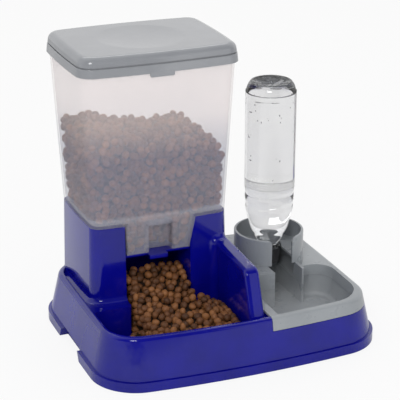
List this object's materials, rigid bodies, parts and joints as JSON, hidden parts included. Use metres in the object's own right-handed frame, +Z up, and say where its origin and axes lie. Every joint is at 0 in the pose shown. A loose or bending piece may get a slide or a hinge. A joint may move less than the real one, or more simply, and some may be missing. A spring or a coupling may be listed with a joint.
{
  "type": "pet food and water dispenser",
  "caption": "Gravity pet feeder: hopper with lid and slide gate over a food bowl, beside a lift-out water tray whose cup holds an upturned bottle.",
  "frame": {"origin": "middle of the base outline, on the floor", "axes": "+X to the right seen from the front, +Y to the back, +Z up; the food bowl and basin face -Y"},
  "size_m": [0.3652, 0.2916, 0.3664],
  "materials": {
    "blue_plastic": "gloss",
    "grey_plastic": "satin",
    "lid_plastic": "gloss",
    "hopper_plastic": "translucent",
    "clear_bottle": "clear",
    "cap_plastic": "satin",
    "water": "clear",
    "dry_food": "rough"
  },
  "bodies": {
    "base": {"base_skirt": "blue_plastic", "food_bowl": "blue_plastic", "hopper_tower": "blue_plastic", "divider_wall": "blue_plastic", "bowl_food": "dry_food"},
    "gate": {"flow_gate": "blue_plastic"},
    "hopper": {"hopper": "hopper_plastic", "hopper_food": "dry_food"},
    "lid": {"lid": "lid_plastic"},
    "tray": {"water_tray": "grey_plastic", "bottle_cup": "grey_plastic", "basin_water": "water"},
    "bottle": {"bottle": "clear_bottle", "bottle_cap": "cap_plastic", "bottle_water": "water"}
  },
  "joints": [
    {"name": "gate_slide", "type": "slide", "parent": "base", "child": "gate", "axis": [0, -1, 0], "range_m": [0, 0.055]},
    {"name": "hopper_lift", "type": "slide", "parent": "base", "child": "hopper", "axis": [0, 0, 1], "range_m": [0, 0.06]},
    {"name": "lid_lift", "type": "slide", "parent": "hopper", "child": "lid", "axis": [0, 0, 1], "range_m": [0, 0.05]},
    {"name": "water_tray_lift", "type": "slide", "parent": "base", "child": "tray", "axis": [0, 0, 1], "range_m": [0, 0.06]},
    {"name": "bottle_lift", "type": "slide", "parent": "tray", "child": "bottle", "axis": [0, 0, 1], "range_m": [0, 0.06]}
  ]
}
